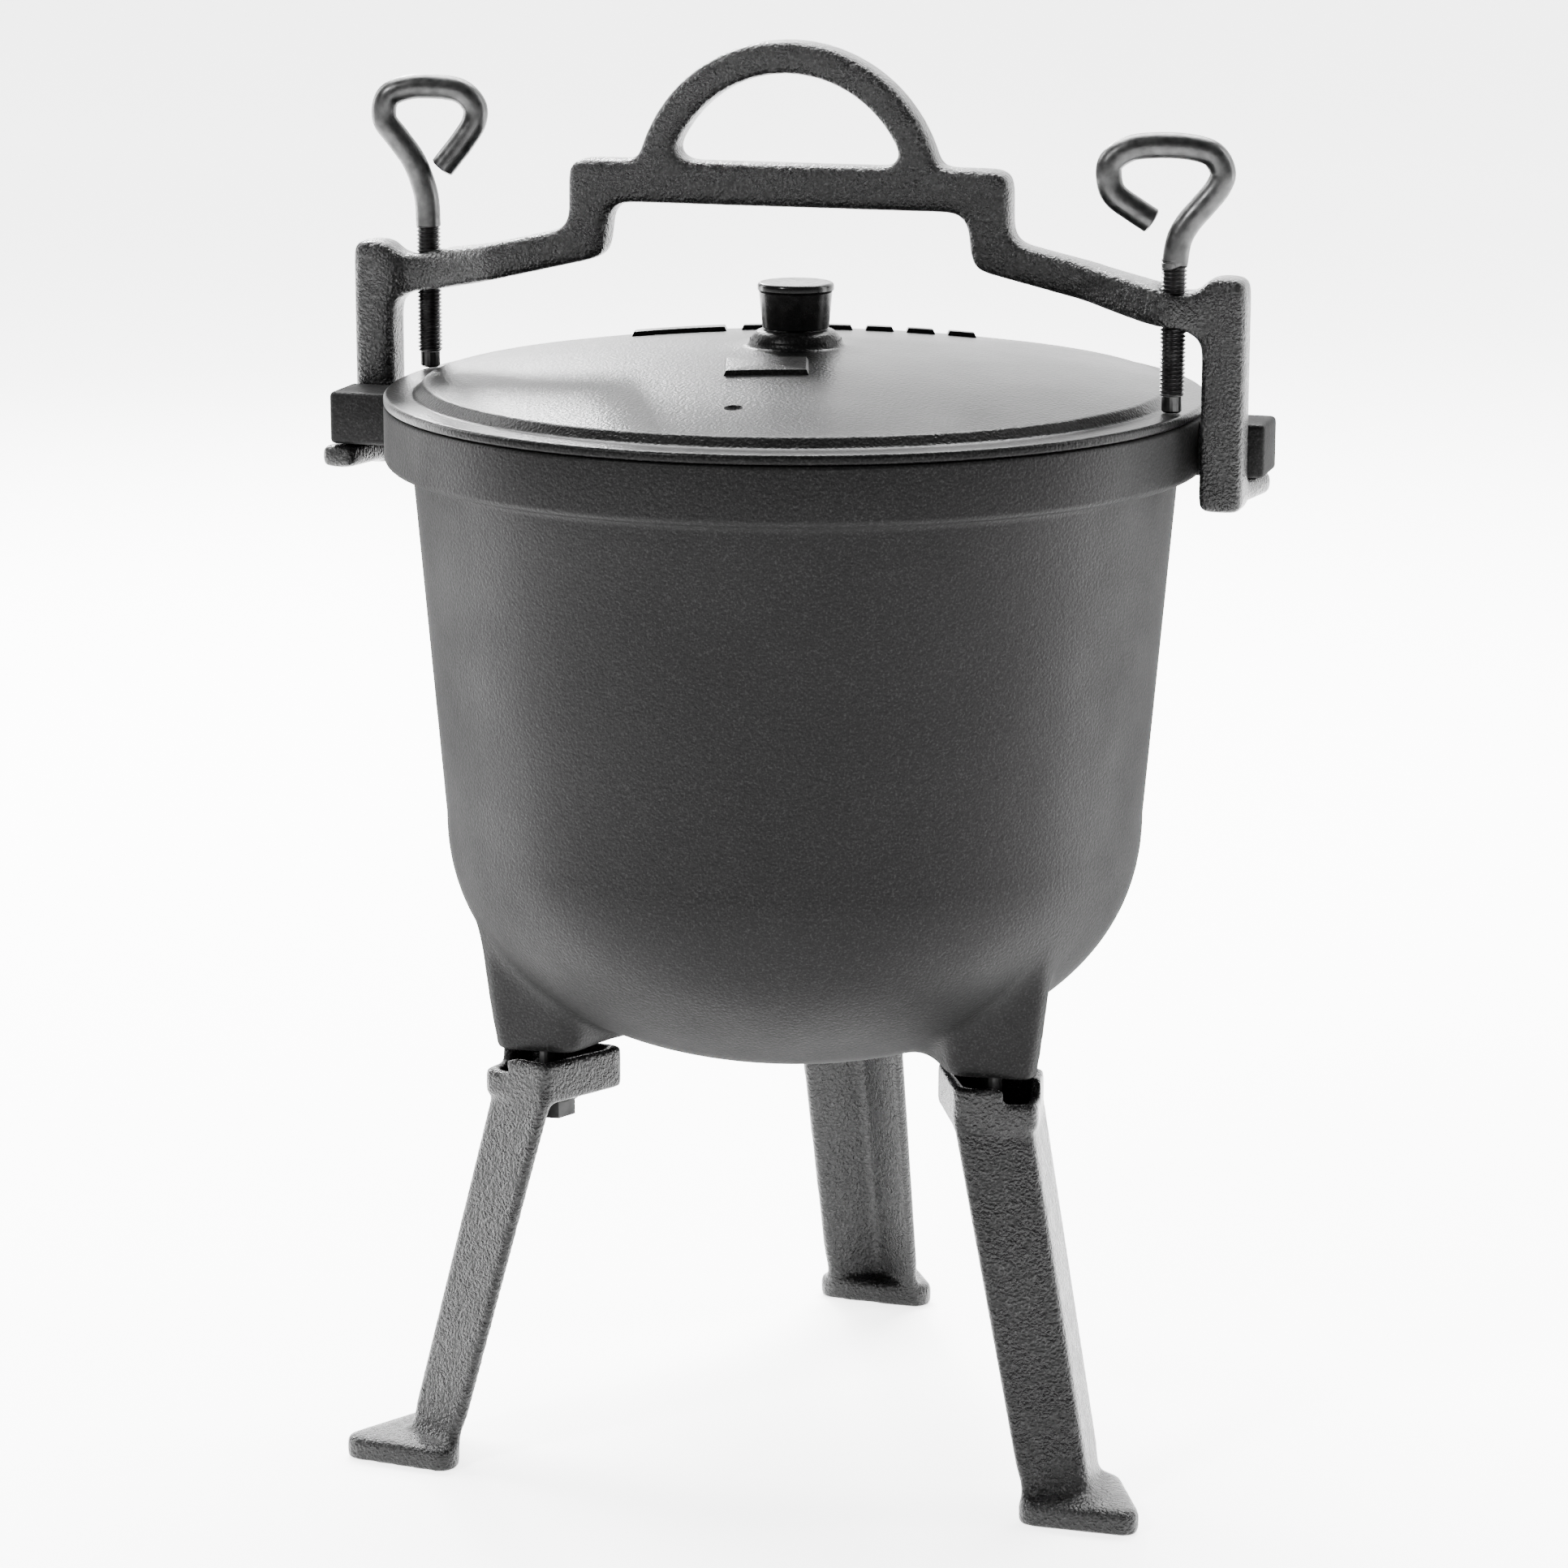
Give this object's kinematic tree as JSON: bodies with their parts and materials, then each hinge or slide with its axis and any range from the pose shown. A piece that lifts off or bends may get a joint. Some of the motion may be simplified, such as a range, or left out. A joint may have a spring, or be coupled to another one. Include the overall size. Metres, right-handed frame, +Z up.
{
  "type": "three-legged cauldron",
  "caption": "Three-legged cast-iron cauldron with a flanged lid, a small knob, and an arched clamp yoke whose eye screws press the lid shut.",
  "frame": {"origin": "on the ground under the middle of the bounding box; the pot's axis stands at x 2 mm, y -9.9 mm", "axes": "+Z up; X along the clamp yoke; the rear leg points to +Y and the other two to the front"},
  "size_m": [0.3047, 0.2798, 0.453],
  "materials": {
    "pot_enamel": "satin",
    "lid_enamel": "satin",
    "cast_paint": "rough casting, glossy paint",
    "screw_steel": "dark satin",
    "steel": "satin",
    "brass": "satin",
    "bakelite": "gloss"
  },
  "bodies": {
    "pot": {"pot_body": "pot_enamel", "leg_rear": "cast_paint", "leg_washer_rear": "steel", "leg_bolt_rear": "steel", "leg_left": "cast_paint", "leg_washer_left": "steel", "leg_bolt_left": "steel", "leg_right": "cast_paint", "leg_washer_right": "steel", "leg_bolt_right": "steel"},
    "lid": {"lid": "lid_enamel", "lid_knob": "bakelite", "knob_insert": "brass", "knob_washer": "steel", "knob_bolt": "steel"},
    "yoke": {"clamp_yoke": "cast_paint"},
    "tip_left": {"screw_tip_left": "screw_steel"},
    "screw_left": {"clamp_screw_left": "screw_steel"},
    "tip_right": {"screw_tip_right": "screw_steel"},
    "screw_right": {"clamp_screw_right": "screw_steel"}
  },
  "joints": [
    {"name": "lid_turn", "type": "hinge", "parent": "pot", "child": "lid", "pos_m": [0.002, -0.0099, 0.337], "axis": [0, 0, 1], "continuous": true},
    {"name": "yoke_turn", "type": "hinge", "parent": "pot", "child": "yoke", "pos_m": [0, -0.0099, 0.38], "axis": [0, 0, 1], "range_deg": [-150, 0]},
    {"name": "screw_left_travel", "type": "slide", "parent": "yoke", "child": "tip_left", "axis": [0, 0, 1], "range_m": [0, 0.0201]},
    {"name": "screw_left_turn", "type": "hinge", "parent": "tip_left", "child": "screw_left", "pos_m": [-0.1258, 0.0048, 0.39], "axis": [0, 0, 1], "range_deg": [0, 5760]},
    {"name": "screw_right_travel", "type": "slide", "parent": "yoke", "child": "tip_right", "axis": [0, 0, 1], "range_m": [0, 0.0201]},
    {"name": "screw_right_turn", "type": "hinge", "parent": "tip_right", "child": "screw_right", "pos_m": [0.1258, -0.0246, 0.39], "axis": [0, 0, 1], "range_deg": [0, 5760]}
  ],
  "couplings": [
    {"joint": "screw_left_travel", "follows": "screw_left_turn", "m_per_rad": 0.00019894},
    {"joint": "screw_right_travel", "follows": "screw_right_turn", "m_per_rad": 0.00019894}
  ]
}
